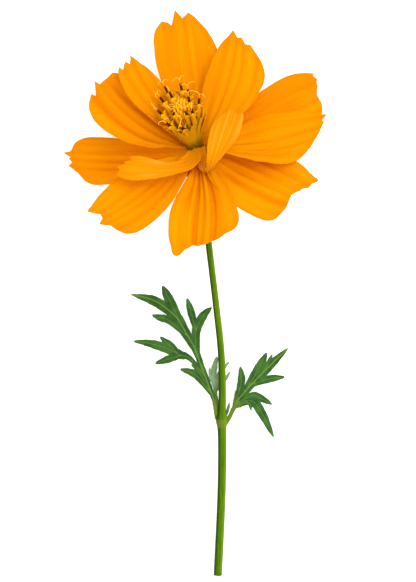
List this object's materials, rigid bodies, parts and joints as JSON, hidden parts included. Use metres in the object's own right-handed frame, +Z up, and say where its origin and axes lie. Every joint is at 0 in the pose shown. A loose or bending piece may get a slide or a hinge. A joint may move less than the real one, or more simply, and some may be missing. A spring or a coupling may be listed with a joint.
{
  "type": "cosmos flower",
  "caption": "Cut cosmos flower laid on its side: a semi-double head of broad toothed rays round a raised disc, on a thin stem with a pair of divided leaves.",
  "frame": {"origin": "centre of the flower's bounding box at its lowest point, on the surface that it lies on", "axes": "+Z up from the surface; +Y from the cut end of the stem to the flower; +X to the right, seen from above with the flower away from the viewer"},
  "size_m": [0.0595, 0.1316, 0.0281],
  "materials": {
    "ray_petal": "thin matt velvety petal, vivid orange with darker grooves and paler ridges, slightly translucent",
    "disc": "waxy yellow florets with dark brown anthers and curled yellow styles",
    "stem": "smooth satin yellow-green stalk with fine lengthwise ribs",
    "leaf": "matt mid-green leaf with paler midribs",
    "bract": "dark green satin bract",
    "phyllary": "papery amber-green phyllary with darker veins"
  },
  "bodies": {
    "root": {"petal_top": "ray_petal", "petal_upper_right": "ray_petal", "petal_right_rear": "ray_petal", "petal_right_front": "ray_petal", "petal_lower_right": "ray_petal", "petal_bottom": "ray_petal", "petal_lower_left": "ray_petal", "petal_left": "ray_petal", "petal_upper_left": "ray_petal", "petal_upper_left_front": "ray_petal", "petal_inner_left": "ray_petal", "petal_inner_right": "ray_petal", "phyllary_01": "phyllary", "phyllary_02": "phyllary", "phyllary_03": "phyllary", "phyllary_04": "phyllary", "phyllary_05": "phyllary", "phyllary_06": "phyllary", "phyllary_07": "phyllary", "phyllary_08": "phyllary", "bract_01": "bract", "bract_02": "bract", "bract_03": "bract", "bract_04": "bract", "bract_05": "bract", "bract_06": "bract", "bract_07": "bract", "bract_08": "bract", "receptacle": "stem", "disc_floret_01": "disc", "disc_floret_02": "disc", "disc_floret_03": "disc", "disc_floret_04": "disc", "disc_floret_05": "disc", "disc_floret_06": "disc", "disc_floret_07": "disc", "disc_floret_08": "disc", "disc_floret_09": "disc", "disc_floret_10": "disc", "disc_floret_11": "disc", "disc_floret_12": "disc", "disc_floret_13": "disc", "disc_buds": "disc", "stem": "stem", "leaf_left": "leaf", "leaf_right": "leaf", "axillary_leaf": "leaf", "axillary_shoot_tip": "leaf", "axillary_bud": "stem"}
  },
  "joints": []
}
